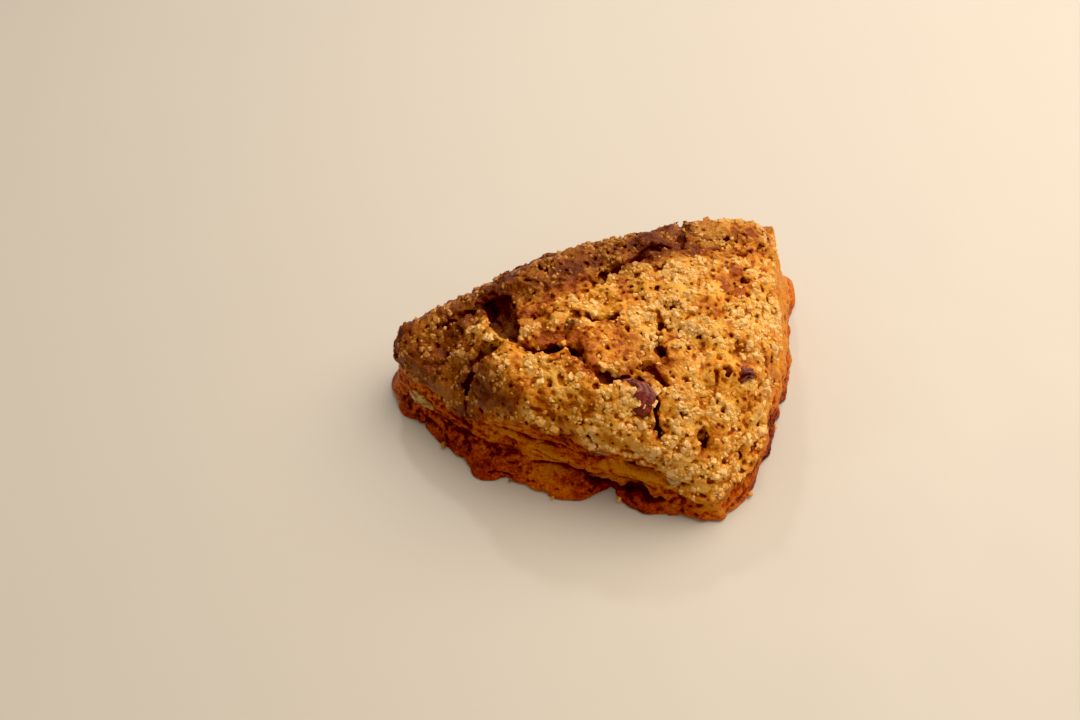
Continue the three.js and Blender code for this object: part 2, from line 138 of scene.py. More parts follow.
# Holes in the crust: place and radius.
HOLES = [
    ((25.8, -31.2), 1.9), ((21.2, -28.6), 0.9), ((30.6, -25.9), 0.8), ((38.8, -18.6), 0.9),
    ((22.4, -13.2), 0.9), ((21.9, -21), 0.9), ((31.6, -18.6), 1.4), ((39.5, -1.2), 0.9),
    ((31.8, -4.9), 0.7), ((32.6, -2.5), 0.7), ((19.1, -2.3), 1.0), ((24.2, 1.6), 0.8),
    ((16.3, 16.9), 1.3), ((1.4, -25.5), 1.0), ((3.9, -15), 0.9), ((-14.2, -4.8), 0.9),
    ((-18.3, -23.4), 0.8), ((-9.3, -24.3), 0.9), ((4.9, -5.9), 1.5), ((37, 3), 0.9),
    ((29, 9), 0.7), ((33, 22), 0.8), ((26, 20), 0.7), ((9, 3), 0.8), ((-2, 13), 0.8), ((-17, 6), 0.8),
]
HOLE_DEPTH = (0.4, 1.6)  # a hole is round down to this share of its radius, then narrows this slowly
HOLE_RAGGEDNESS = (0.85, 0.5)  # its radius comes and goes: middle and height, as shares
HOLE_MARGIN = 1.5  # it is worked out this far past its radius

# Splits between the layers of the side: line in three dimensions, width and depth.
FISSURES = [
    ([(-27.5, -21.2, 13.6), (-25.3, -22.2, 13.2), (-16.1, -26.6, 12.9), (-6.4, -28.9, 11.8)], 1.1, 2.4),
    ([(-16.2, -27.6, 10.5), (-7.8, -29.9, 7.2), (3.1, -32.2, 2.8), (11.6, -36.2, 3.2), (19.9, -39, 2.6)],
     1.3, 3.0),
    ([(-38, -16, 9), (-31, -20.4, 7), (-22, -25, 6.4)], 0.9, 1.8),
    ([(6, -33, 8.6), (13, -35.4, 7.6), (21, -37.6, 8)], 0.8, 1.6),
    ([(36.5, -25, 9), (41.5, -14, 8), (44.5, -2, 9.6)], 1.0, 2.0),
    ([(47, 12, 13), (48, 22, 12), (47, 30, 13)], 1.0, 2.0),
    ([(30, 33, 11), (14, 27.6, 10), (0, 23, 11.4)], 1.2, 2.4),
    ([(-6, 20.6, 8), (-20, 16, 9.4), (-34, 10.6, 8)], 1.0, 2.2),
]

# Crumbs beside the foot: about where they lie.
CRUMBS = [
    (-20.8, -32, 0.8), (39, -34.5, 0.8), (-39, -22, 0.8), (6.5, -36, 0.8), (-9.6, -37.5, 0.8),
    (48, -14, 0.8), (-12, 26, 0.8), (19, 37, 0.8),
]
CRUMB_HEIGHT = 1.0  # the middle of each lies at least this high

# Loose crystals that cling to the crust's front edge and lie beside the berry.
LOOSE_SUGAR = [
    (-14.2, -28.2, 22.8), (-11.6, -29, 22.6), (-7.6, -30.2, 22), (-3, -31.6, 21.4), (-17.4, -26.8, 23),
    (7.4, -26.2, 30.6), (9.6, -26.2, 30.4), (14.2, -28, 28.6), (10.4, -31, 27), (15, -25, 29),
]

PITS = 320  # small pits tried at random
PIT_RADIUS = (0.35, 0.65)
PIT_FIELD = ((-46, -38), (48, 32))
PIT_INSET = 1.5  # from the crust's edge
RIM = 1.4  # how far from a crack the crust is bare and browner

CRAG_SIZE = 6.5
CRAG_HEIGHT = 1.2
SIDE_CRAG_HEIGHT = 0.7
SIDE_CRAG_SQUASH = 1.4  # the side's crags are this many times longer than they are high
SMALL_CRAGS = (0.6, 9)  # share and shift of crags of half the size on top of them

CURVE_STEPS = 40  # points between two pairs of PROFILE
LINE_STEPS = 24  # points between two of a crack, a split or a lump's path
CRACK_TAPER = (0.25, 0.25)  # how much of a crack is left at its ends, and over what share of it that grows
FISSURE_TAPER = (0, 0.2)
FISSURE_REACH = 7  # splits cut no further than this from their line, seen from above
BAND = 3.2  # the relief is worked out this near the plain surface,
CRACK_BAND = 10  # and this near it at cracks,
CRACK_MARGIN = 2.5  # which reach this far past the crack's edge
MOST_CUT = 2.5  # the field is cut to this much above zero at most
EDGE_BLEND = 0.8  # the crust's edge is rounded over this much,
EDGE_FILL = 0.35  # by this share of it
SPIKE = (0.8, 0.32)  # what stands out of the mean over this reach by more than this is cut off
BOTTOM = (0.15, 0.12)  # height of the nearly flat bottom and of its waves
PIT_SCALE, HOLLOW_SCALE = 0.8, 2.4  # over what reach a place counts as low or high, for the painted shade in its colour

# Relief: the size of its features, or one for each axis, and its seed.
CLUMPS = (4.2, 5)
KNOBS = (2.6, 7)
BEADS = (1.35, 11)
SIDE_KNOBS = ((2.4, 2.4, 1.8), 13)
GRIT = (0.8, 17)
BARE_PATCHES = (5.0, 19)
SPLITS = ((11.0, 11.0, 2.0), 31)
RUBBLE = (2.8, 51)
HOLE_EDGE = (0.9, 53)
PORES = (1.7, 59)
POROUS_PATCHES = (9.0, 61)
BOTTOM_WAVES = (3.0, 67)
BROWN_LAYERS = ((16.0, 16.0, 2.2), 79)
SUGAR_CLUSTERS = (3.0, 97)

# How high each kind stands on the crust and on the side.
CRUST_RELIEF = SimpleNamespace(clumps=0.6, knobs=0.45, bare_knobs=0.2, beads=0.36, grit=0.2, bare=0.3)
SIDE_RELIEF = SimpleNamespace(
    layers=0.35, clumps=0.4, knobs=0.3, beads=0.25, grit=0.25, frill=0.75, split=2.2
)

# Where in their noise the crust lies bare and the side splits, and over what depth below the crust it does.
BARE_RANGE = (0.1, 0.5)
SPLIT_RANGE = (0.5, 0.75)
SPLIT_DEPTH = (0.2, 3)
FRILL_LEVEL = 0.9  # the foot's frill is what stands above this

# The torn fringe at the crust's edge: the beads' share, its width, where it sets in, and how far it stands.
FRINGE = SimpleNamespace(beads=0.5, span=1.6, heights=(4, 8), up=0.5, out=0.9)
CRUST_LIMIT = (1.2, 0.9)  # over what depth crust turns into side, and how far beads shift that

# Cracks: how much they widen below the crust, what closes them, and what lifts their bottoms.
CRACK = SimpleNamespace(widening=0.5, beads=0.45, knobs=0.25, above=0.1, rubble=0.7, bottom_beads=0.2)
FISSURE = SimpleNamespace(ragged=0.2, wander=0.5, thinnest=0.05)

# Pores: depth, the noise they open above where few and where many, where few turn to many, and fading.
PORE = SimpleNamespace(depth=1.3, few=0.68, many=0.42, range=(-0.4, 0.7), fade=0.2)

# Sums of noises, each with its height, size and seed.
LAYERS = [(1, (9.0, 9.0, 1.5), 23), (0.5, (5.0, 5.0, 0.8), 29)]
FRILL = [(1, (2.8, 2.8, 4.0), 37), (0.7, 1.2, 41)]
WANDER = [(0.9, 3.4, 43), (0.7, 1.5, 45)]
RAGGEDNESS = [(0.5, 4.5, 47), (0.3, 1.2, 49)]
TOAST_PATCHES = [(0.6, 11.0, 71), (0.4, 4.0, 73)]
TONE_PATCHES = [(0.45, 7.0, 91), (0.45, 3.6, 93), (0.35, 1.7, 95)]

# ---- helpers


def smooth(a, b, x):
    t = np.clip((x - a) / (b - a), 0, 1)
    return t * t * (3 - 2 * t)


def lerp(a, b, t):
    return a + (b - a) * t


def bell(distance, span):
    return np.exp(-((distance / span) ** 2))


def lattice_noise(x, y, z):
    """Smooth noise from -1 to 1, from a hash of the corners of a unit lattice."""
    i, j, k = np.floor(x), np.floor(y), np.floor(z)
    u, v, w = smooth(0, 1, x - i), smooth(0, 1, y - j), smooth(0, 1, z - k)

    def corner(a, b, c):
        h = np.sin((i + a) * 127.1 + (j + b) * 311.7 + (k + c) * 74.7) * 43758.5453
        return 2 * (h - np.floor(h)) - 1

    def edge(b, c):
        return lerp(corner(0, b, c), corner(1, b, c), u)

    return lerp(lerp(edge(0, 0), edge(1, 0), v), lerp(edge(0, 1), edge(1, 1), v), w)


def scaled(x, y, z, size, seed):
    """Coordinates for features of about this size, a number or one for each axis, moved aside by a seed."""
    sx, sy, sz = size if isinstance(size, tuple) else (size, size, size)
    return x / sx + seed, y / sy + 3.7 * seed, z / sz + 1.3 * seed


def noise(x, y, z, size, seed):
    """lattice_noise with features of about this size in millimetres."""
    return lattice_noise(*scaled(x, y, z, size, seed))


def octaves(x, y, z, parts, start=0):
    """The sum of noises, each given as its height, the size of its features and its seed."""
    return sum((height * noise(x, y, z, size, seed) for height, size, seed in parts), start)


def domes(x, y, z, size, seed):
    """Round bumps packed side by side, from about -0.6 in the creases to 1 on top."""
    x, y, z = scaled(x, y, z, size, seed)
    i, j, k = np.floor(x - 0.5), np.floor(y - 0.5), np.floor(z - 0.5)
    near = np.full(x.shape, np.inf)
    for a, b, c in np.ndindex(2, 2, 2):
        h = np.sin((i + a) * 127.1 + (j + b) * 311.7 + (k + c) * 74.7)
        jx, jy, jz = ((t := h * by) - np.floor(t) for by in (43758.5453, 22578.1459, 19642.3490))
        near = np.minimum(near, (i + a + jx - x) ** 2 + (j + b + jy - y) ** 2 + (k + c + jz - z) ** 2)
    return 1 - 2 * near


def crags(x, y, z):
    s, (share, shift) = CRAG_SIZE, SMALL_CRAGS
    return lattice_noise(x / s, y / s, z / s) + share * lattice_noise(2 * x / s + shift, 2 * y / s, 2 * z / s)


def taper_of(along, end, length):
    """From this much at both ends of a line to 1 in its middle, by the share of the way along it."""
    return end + (1 - end) * smooth(0, length, np.minimum(along, 1 - along))


def curve(points, closed, steps):
    """A uniform Catmull-Rom curve through the points."""
    p = np.array(points, float)
    if closed:
        p = np.vstack([p[-1], p, p[0], p[1]])
    else:
        p = np.vstack([2 * p[0] - p[1], p, 2 * p[-1] - p[-2]])
    t = np.linspace(0, 1, steps, endpoint=False)[:, None]
    out = []
    for a, b, c, d in zip(p, p[1:], p[2:], p[3:]):
        cubic = -a + 3 * b - 3 * c + d
        out.append(0.5 * (2 * b + (c - a) * t + (2 * a - 5 * b + 4 * c - d) * t**2 + cubic * t**3))
    out = np.vstack(out)
    return out if closed else np.vstack([out, p[-2]])


def distance_to(points, x, y):
    """Distance from each x, y to a dense line of points, and the number of the nearest one."""
    near, which = np.full(x.shape, np.inf), np.zeros(x.shape, int)
    for i, (px, py) in enumerate(points):
        d = np.hypot(x - px, y - py)
        closer = d < near
        near[closer], which[closer] = d[closer], i
    return near, which


def inside(points, x, y):
    hit = np.zeros(x.shape, bool)
    for (ax, ay), (bx, by) in zip(points, np.roll(points, -1, axis=0)):
        if ay != by:
            hit ^= ((ay > y) != (by > y)) & (x < (bx - ax) * (y - ay) / (by - ay) + ax)
    return hit


def sample(field, grid, points):
    """A field of the grid at points in millimetres, by linear interpolation."""
    low, pitch = grid
    q = np.clip((points - low) / pitch, 0, np.array(field.shape) - 1.001)
    i = q.astype(int)
    f = q - i
    total = 0
    for corner in np.ndindex(2, 2, 2):
        x, y, z = np.abs(1 - np.array(corner) - f).T
        total = total + x * y * z * field[tuple((i + corner).T)]
    return total


def blurred(field, reach):
    """The mean of a field over a box that reaches this many millimetres each way."""
    reach = max(1, round(reach / PITCH))
    for axis in range(3):
        edges = [(reach + 1, reach) if a == axis else (0, 0) for a in range(3)]
        total = np.cumsum(np.pad(field, edges, "edge"), axis)
        n = field.shape[axis]
        high = np.take(total, range(2 * reach + 1, 2 * reach + 1 + n), axis)
        low = np.take(total, range(n), axis)
        field = (high - low) / (2 * reach + 1)
    return field


# ---- the dough's form


def crest(x, y):
    """The crust before its edge turns down."""
    back = smooth(*BACK_ZONE, y)
    foot, head = (lerp(front, rear, back) for front, rear in zip(*TIP_CLIMB))
    climb = smooth(foot, head, x + TIP_SLANT * y)
    corner = bell(np.hypot(x - SAG_CENTRE[0], y - SAG_CENTRE[1]), SAG_SPAN)
    return HEIGHT - TIP_DROP * (1 - climb) - CORNER_SAG * corner - OUTER_DROP * smooth(*OUTER_DROP_ZONE, x)


def front_share(x, y):
    """How much of the front cut's own forms a place has, from 0 to 1."""
    low, high, slant = FRONT_ZONE
    return 1 - smooth(low, high, y - slant * x)


def turn_down(x, y, inset):
    """How far the crust's edge has turned down, this far in from the side."""
    front = front_share(x, y)
    t = 1 - np.clip(inset / lerp(BACK_ROUND[0], FRONT_ROUND[0], front), 0, 1)
    return lerp(BACK_ROUND[1], FRONT_ROUND[1], front) * (1 - np.sqrt(1 - t * t))


class Dough:
    """The dough as a field on a grid: below zero inside, above zero outside, and nearly a distance in mm."""

    def __init__(self):
        low, high = np.array(GRID)
        steps = np.ceil((high - low) / PITCH).astype(int)
        self.grid = (low, PITCH)
        self.axes = [low[a] + PITCH * np.arange(steps[a] + 1) for a in range(3)]
        self.plan()
        self.block_out()
        self.carve()

    def plan(self):
        """The fields that depend on x and y only."""
        x, y = np.meshgrid(self.axes[0], self.axes[1], indexing="ij")
        wall = curve([p[0] for p in PROFILE], True, CURVE_STEPS)
        foot = curve([p[1] for p in PROFILE], True, CURVE_STEPS)
        to_wall, nearest = distance_to(wall, x, y)
        to_foot, _ = distance_to(foot, x, y)
        self.wall_inset = np.where(inside(wall, x, y), to_wall, -to_wall)
        self.foot_inset = np.where(inside(foot, x, y), to_foot, -to_foot)
        self.wall_x, self.wall_y = wall[nearest, 0], wall[nearest, 1]
        self.lobes = sum(
            reach * bell(np.hypot(self.wall_x - at[0], self.wall_y - at[1]), span)
            for at, reach, span in LOBES
        )
        self.eave = EAVE * front_share(x, y)
        inset = np.maximum(self.wall_inset + self.eave, 0)
        relief = CRAG_HEIGHT * crags(x, y, 0 * x)
        self.crust_height = crest(x, y) - turn_down(x, y, inset) + relief
        slope = np.hypot(*np.gradient(self.crust_height, PITCH))
        self.crust_slope = np.sqrt(1 + np.minimum(slope, STEEPEST) ** 2)
        self.x = x

        def openings(table, *ends):
            """Each line's distance seen from above, nearest point, half width, depth and taper."""
            for line, width, depth in table:
                dense = curve(line, False, LINE_STEPS)
                away, where = distance_to(dense[:, :2], x, y)
                yield away, dense[where], 0.5 * width, depth, taper_of(where / len(dense), *ends)

        self.cracks = [
            (away, half * taper, depth * taper)
            for away, _, half, depth, taper in openings(CRACKS, *CRACK_TAPER)
        ]
        self.fissures = [
            (nearest[:, :, 2], half * taper * (away < FISSURE_REACH), depth)
            for away, nearest, half, depth, taper in openings(FISSURES, *FISSURE_TAPER)
        ]

        rng = np.random.default_rng(5)
        spots = rng.uniform(*PIT_FIELD, (PITS, 2))
        inset = self.wall_inset[tuple(((spots - self.grid[0][:2]) / PITCH).astype(int).T)]
        spots = spots[inset > PIT_INSET]
        self.holes = [(*place, radius) for place, radius in HOLES]
        radii = rng.uniform(*PIT_RADIUS, len(spots))
        self.holes += [(*place, radius) for place, radius in zip(spots, radii)]
        open_to = sum(bell(np.maximum(away - half, 0), RIM) for away, half, _ in self.cracks)
        self.rim = np.repeat(np.minimum(open_to, 1)[:, :, None], 2, axis=2)

    def block_out(self):
        """The plain form: crust, side and flat bottom."""
        z = self.axes[2][None, None, :]
        spread = bell(z, FOOT_HEIGHT)
        top = self.crust_height[:, :, None]
        height, length, slice_ = LEDGE_WAVE
        wave = height * lattice_noise(self.wall_x / length, self.wall_y / length, slice_ + 0 * self.wall_x)
        layer = z + wave[:, :, None]
        ledges = sum(out * bell(layer - at, thick) for at, out, thick in LEDGES)
        out = ledges * smooth(0, LEDGE_FADE, top - z) + self.eave[:, :, None] * smooth(*EAVE_BAND, top - z)
        height, reach, thick = OUTER_BULGE
        swell = reach * bell(z - height, thick) - OUTER_LEAN * np.maximum(z - LEAN_HEIGHT, 0)
        out = out + swell * smooth(*OUTER_ZONE, self.x)[:, :, None]
        inset = lerp(self.wall_inset[:, :, None], self.foot_inset[:, :, None], spread)
        self.side = -(inset + self.lobes[:, :, None] * spread + out)
        self.top = (z - top) / self.crust_slope[:, :, None]
        self.field = np.maximum(np.maximum(self.side, self.top), -z + 0 * top).astype(np.float32)

    def carve(self):
        """The relief: crumb, cracks, holes, layers and the foot's frill, only near the surface."""
        near_crack = np.zeros(self.x.shape, bool)
        for away, half, _ in self.cracks:
            near_crack |= away < half + CRACK_MARGIN
        depth = np.abs(self.field)
        band = (depth < BAND) | (near_crack[:, :, None] & (depth < CRACK_BAND))
        i, j, k = self.band = np.nonzero(band)
        self.at = self.axes[0][i], self.axes[1][j], self.axes[2][k]
        self.below = self.crust_height[i, j] - self.at[2]
        self.knobs, self.beads = domes(*self.at, *KNOBS), domes(*self.at, *BEADS)
        self.wander, self.ragged = octaves(*self.at, WANDER), octaves(*self.at, RAGGEDNESS, 1)

        form, crusty, inward = self.roughened()
        form = self.split_apart(self.cracked(form), inward)
        form = self.trimmed(self.pierced(form, crusty))
        self.plain = self.field
        self.field = self.field.copy()
        self.field[i, j, k] = form
        reach, most = SPIKE
        self.field = np.maximum(self.field, blurred(self.field, reach) - most)
        self.crusty = np.where(self.top > self.side, 1.0, 0.0).astype(np.float32)
        self.crusty[i, j, k] = crusty

    def roughened(self):
        """The crust's fused sugar and the side's layers: the form, its share of crust, and its depth."""
        x, y, z = self.at
        knobs, beads = self.knobs, self.beads
        side, top = (field[self.band].astype(float) for field in (self.side, self.top))
        clumps, grit = noise(x, y, z, *CLUMPS), noise(x, y, z, *GRIT)
        bare = smooth(*BARE_RANGE, noise(x, y, z, *BARE_PATCHES))  # where the sugar came off or never lay
        high = CRUST_RELIEF
        crumb = high.clumps * clumps + lerp(high.knobs, high.bare_knobs, bare) * knobs
        crumb = crumb + high.beads * beads + high.grit * grit - high.bare * bare

        high = SIDE_RELIEF
        splits = smooth(*SPLIT_RANGE, noise(x, y, z, *SPLITS))
        split = high.split * splits * smooth(*SPLIT_DEPTH, self.below)
        frill = (octaves(x, y, z, FRILL) - FRILL_LEVEL) * bell(z, FOOT_HEIGHT)
        flank = SIDE_CRAG_HEIGHT * crags(x, y, SIDE_CRAG_SQUASH * z) + high.layers * octaves(x, y, z, LAYERS)
        flank = flank + high.clumps * clumps + high.beads * beads + high.grit * grit
        flank = flank + high.knobs * domes(x, y, z, *SIDE_KNOBS) + high.frill * frill - split

        fringe = np.maximum(knobs + FRINGE.beads * beads, 0) * bell(top - side, FRINGE.span)
        fringe = fringe * smooth(*FRINGE.heights, z)
        top = top - crumb - FRINGE.up * fringe
        side = side - flank - FRINGE.out * fringe
        depth, shift = CRUST_LIMIT
        crusty = smooth(-depth, depth, top - side + shift * beads)
        form = np.maximum(top, side) + EDGE_BLEND * np.exp(-np.abs(top - side) / EDGE_BLEND) * EDGE_FILL
        return form, crusty, np.maximum(-side, 0)

    def cracked(self, form):
        """Cracks widen a little below the crust, and have rubble at their bottoms."""
        i, j, _ = self.band
        rubble = 1 + CRACK.rubble * domes(*self.at, *RUBBLE) + CRACK.bottom_beads * self.beads
        for away, half, depth in self.cracks:
            d, h, deep = away[i, j] + self.wander, half[i, j], depth[i, j] / rubble
            t = np.clip(self.below / deep, 0, 1)
            opening = h * self.ragged * (1 + CRACK.widening * t) * (1 - t**3)
            opening = opening - CRACK.beads * self.beads - CRACK.knobs * h * self.knobs
            cut = np.where(self.below < deep, opening - d - CRACK.above * (self.below < -1), -1.0)
            form = np.maximum(form, np.minimum(cut, MOST_CUT))
        return form

    def split_apart(self, form, inward):
        """Splits in the side narrow towards their depth."""
        i, j, _ = self.band
        for height, half, depth in self.fissures:
            gap = half[i, j] * (self.ragged + FISSURE.ragged) * (1 - inward / depth)
            cut = gap - np.abs(self.at[2] + FISSURE.wander * self.wander - height[i, j])
            opened = np.maximum(form, np.where(inward < depth, cut, -1))
            form = np.where(half[i, j] > FISSURE.thinnest, opened, form)
        return form

    def pierced(self, form, crusty):
        """Holes, pits and pores in the crust."""
        x, y, z = self.at
        (straight, slope), (middle, sway) = HOLE_DEPTH, HOLE_RAGGEDNESS
        for hx, hy, radius in self.holes:
            reach = radius + HOLE_MARGIN
            n = np.nonzero((np.abs(x - hx) < reach) & (np.abs(y - hy) < reach))[0]
            away = np.hypot(x[n] - hx, y[n] - hy)
            r = radius * (middle + sway * noise(x[n], y[n], z[n], *HOLE_EDGE))
            down = np.maximum(self.below[n] - straight * radius, 0) / slope
            form[n] = np.maximum(form[n], r - np.sqrt(away**2 + down**2))
        porous = smooth(*PORE.range, noise(x, y, z, *POROUS_PATCHES))
        pores = PORE.depth * (noise(x, y, z, *PORES) - lerp(PORE.few, PORE.many, porous))
        return np.maximum(form, np.where(crusty > 0.5, pores - PORE.fade * np.abs(self.below), -1))

    def trimmed(self, form):
        """The nearly flat bottom, and the box that nothing may stand out of."""
        x, y, z = self.at
        height, waves = BOTTOM
        form = np.maximum(form, height + waves * noise(x, y, 0 * x, *BOTTOM_WAVES) - z)
        for axis, place in enumerate(self.at):
            low, high = BOX[0][axis] + BOX_MARGIN, BOX[1][axis] - BOX_MARGIN
            form = np.maximum(form, np.maximum(low - place, place - high))
        return form

    def surface(self):
        """The zero surface as points in millimetres and triangles."""
        grid = openvdb.FloatGrid(background=3.0)
        grid.copyFromArray(self.field)
        points, _, quads = grid.convertToPolygons(0.0, 0.0)
        triangles = np.vstack([quads[:, [0, 1, 2]], quads[:, [0, 2, 3]]])
        return self.grid[0] + PITCH * points.astype(float), triangles


# ---- meshes and materials


def placed(name, data):
    made = bpy.data.objects.new(name, data)
    bpy.context.scene.collection.objects.link(made)
    return made


def mesh_object(name, points, faces, flat=False):
    """A mesh object from points in millimetres of the outline's coordinates, smooth-shaded unless flat."""
    mesh = bpy.data.meshes.new(name)
    corners = faces.shape[1]
    mesh.vertices.add(len(points))
    mesh.vertices.foreach_set("co", ((points - [*MIDDLE, 0]) * MM).astype(np.float32).ravel())
    mesh.loops.add(faces.size)
    mesh.loops.foreach_set("vertex_index", faces.astype(np.int32).ravel())
    mesh.polygons.add(len(faces))
    mesh.polygons.foreach_set("loop_start", np.arange(0, faces.size, corners, dtype=np.int32))
    mesh.update(calc_edges=True)
    mesh.validate()
    if flat:
        mesh.shade_flat()
    else:
        mesh.shade_smooth()
    return placed(name, mesh)


def read(items, field, kind=np.float32, each=1):
    """A field of a mesh's items, with this many numbers in each."""
    flat = np.empty(each * len(items), kind)
    items.foreach_get(field, flat)
    return flat


def points_of(piece):
    return read(piece.data.vertices, "co", each=3).reshape(-1, 3) / MM + [*MIDDLE, 0]


def set_attributes(piece, **attributes):
    for name, values in attributes.items():
        made = piece.data.attributes.new(name, "FLOAT", "POINT")
        made.data.foreach_set("value", np.asarray(values, np.float32))


def dress(piece, node, material):
    """Gives a piece its material and puts it in a node's place."""
    piece.data.materials.append(material)
    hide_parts(node)
    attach(piece, "root")


def reduce_to(piece, triangles):
    piece.data.calc_loop_triangles()
    count = len(piece.data.loop_triangles)
    if count <= triangles:
        return
    fewer = piece.modifiers.new("fewer", "DECIMATE")
    fewer.ratio = triangles / count
    fewer.use_collapse_triangulate = True
    made = bpy.data.meshes.new_from_object(piece.evaluated_get(bpy.context.evaluated_depsgraph_get()))
    piece.modifiers.clear()
    piece.data = made
    made.shade_smooth()


# Colours of the crust and of the sugar on it, from where it is sugared thickest to where it lies bare.
CRUST_COLOURS = [
    (0.0, (0.856, 0.493, 0.13)), (0.35, (0.818, 0.409, 0.0558)),
    (0.65, (0.651, 0.223, 0.013)), (1.0, (0.353, 0.0651, 0.00186)),
]
BROWNED_COLOURS = [
    (0.0, (0.344, 0.107, 0.00688)), (0.5, (0.206, 0.043, 0.00172)),
    (1.0, (0.103, 0.0138, 0.00086)),
]
SUGAR_COLOURS = [
    (0.0, (0.883, 0.567, 0.233)), (0.35, (0.865, 0.465, 0.121)),
    (0.7, (0.744, 0.298, 0.0326)), (1.0, (0.521, 0.14, 0.0093)),
]
BROWNED_SUGAR_COLOURS = [
    (0.0, (0.447, 0.198, 0.043)), (0.5, (0.292, 0.0903, 0.0112)),
    (1.0, (0.155, 0.0275, 0.00172)),
]

# Colours of the side, from where it baked least to the burnt foot.
SIDE_COLOURS = [
    (0.0, (0.8, 0.3, 0.025)), (0.25, (0.72, 0.18, 0.008)),
    (0.5, (0.55, 0.08, 0.002)), (0.75, (0.3, 0.026, 0.001)),
    (1.0, (0.08, 0.006, 0.0005)),
]
# Painted shade: the dark inside pinholes.
PINHOLE_SHADE_COLOUR = (0.12, 0.014, 0.001)
# Painted shade: the dark in cracks and other places sunk below the plain form.
SUNK_SHADE_COLOUR = (0.08, 0.009, 0.0005)
# Painted shade: the darkening in broad hollows.
HOLLOW_SHADE_COLOUR = (0.18, 0.024, 0.001)
SPECK_COLOUR = (0.13, 0.014, 0.001)

BERRY_COLOURS = [(0.3, (0.03, 0.002, 0.002)), (0.5, (0.16, 0.006, 0.005)), (0.75, (0.4, 0.035, 0.02))]
NUT_COLOURS = [(0.3, (0.3, 0.13, 0.03)), (0.5, (0.56, 0.34, 0.11)), (0.75, (0.72, 0.52, 0.22))]
NUT_SKIN_COLOUR = (0.2, 0.07, 0.015)


class Nodes:
    """A short way to write a material's nodes: most methods add one node and give its output."""

    def __init__(self, name):
        self.material = bpy.data.materials.new(name)
        self.material.use_nodes = True
        self.tree = self.material.node_tree
        self.surface = self.tree.nodes["Principled BSDF"]

    def add(self, kind, output=0, settings=None, **inputs):
        """A node, with its inputs given by name, or by number as i0, i1 and so on."""
        node = self.tree.nodes.new(kind)
        for key, value in (settings or {}).items():
            setattr(node, key, value)
        for key, value in inputs.items():
            numbered = key[0] == "i" and key[1:].isdigit()
            self.feed(node, int(key[1:]) if numbered else key.replace("_", " "), value)
        return node.outputs[output]

    def feed(self, node, key, value):
        socket = node.inputs[key]
        if isinstance(value, bpy.types.NodeSocket):
            self.tree.links.new(value, socket)
        else:
            socket.default_value = value

    def shade(self, **inputs):
        for key, value in inputs.items():
            self.feed(self.surface, key.replace("_", " "), value)

    def soften(self, weight, reach, radius):
        self.shade(Subsurface_Weight=weight, Subsurface_Scale=reach * MM, Subsurface_Radius=radius)

    def attribute(self, name):
        return self.add("ShaderNodeAttribute", "Fac", {"attribute_name": name})

    def place(self):
        return self.add("ShaderNodeTexCoord", "Object")

    def noise(self, size, detail=2.0, rough=0.5, stretch=(1, 1, 1), bend=0.0):
        """Noise with features of this size in millimetres, from 0 to 1."""
        scaled = self.add("ShaderNodeVectorMath", 0, {"operation": "MULTIPLY"}, i0=self.place(), i1=stretch)
        kind = dict(Scale=1 / (size * MM), Detail=detail, Roughness=rough, Distortion=bend)
        return self.add("ShaderNodeTexNoise", "Fac", Vector=scaled, **kind)

    def cells(self, size, output="Distance"):
        return self.add("ShaderNodeTexVoronoi", output, Vector=self.place(), Scale=1 / (size * MM))

    def channel(self, colour):
        return self.add("ShaderNodeSeparateColor", 0, i0=colour)

    def math(self, operation, a, b=0.0, clamp=False):
        return self.add("ShaderNodeMath", 0, {"operation": operation, "use_clamp": clamp}, i0=a, i1=b)

    def span(self, value, low, high, to_low=0.0, to_high=1.0):
        """A value between two limits, made to run smoothly between two others."""
        kind, smoothly = "ShaderNodeMapRange", {"interpolation_type": "SMOOTHSTEP"}
        return self.add(kind, 0, smoothly, i0=value, i1=low, i2=high, i3=to_low, i4=to_high)

    def mix(self, share, a, b):
        a, b = (c if isinstance(c, bpy.types.NodeSocket) else (*c, 1) for c in (a, b))
        return self.add("ShaderNodeMix", 2, {"data_type": "RGBA"}, i0=share, i6=a, i7=b)

    def ramp(self, value, stops):
        """Colours at places from 0 to 1."""
        node = self.tree.nodes.new("ShaderNodeValToRGB")
        elements = node.color_ramp.elements
        for _ in stops[2:]:
            elements.new(0.5)
        for element, (at, colour) in zip(elements, stops):
            element.position = at
            element.color = (*colour, 1)
        self.feed(node, 0, value)
        return node.outputs[0]

    def bump(self, height, distance, strength=1.0, normal=None):
        inputs = dict(Height=height, Distance=distance * MM, Strength=strength)
        if normal:
            inputs["Normal"] = normal
        return self.add("ShaderNodeBump", 0, **inputs)


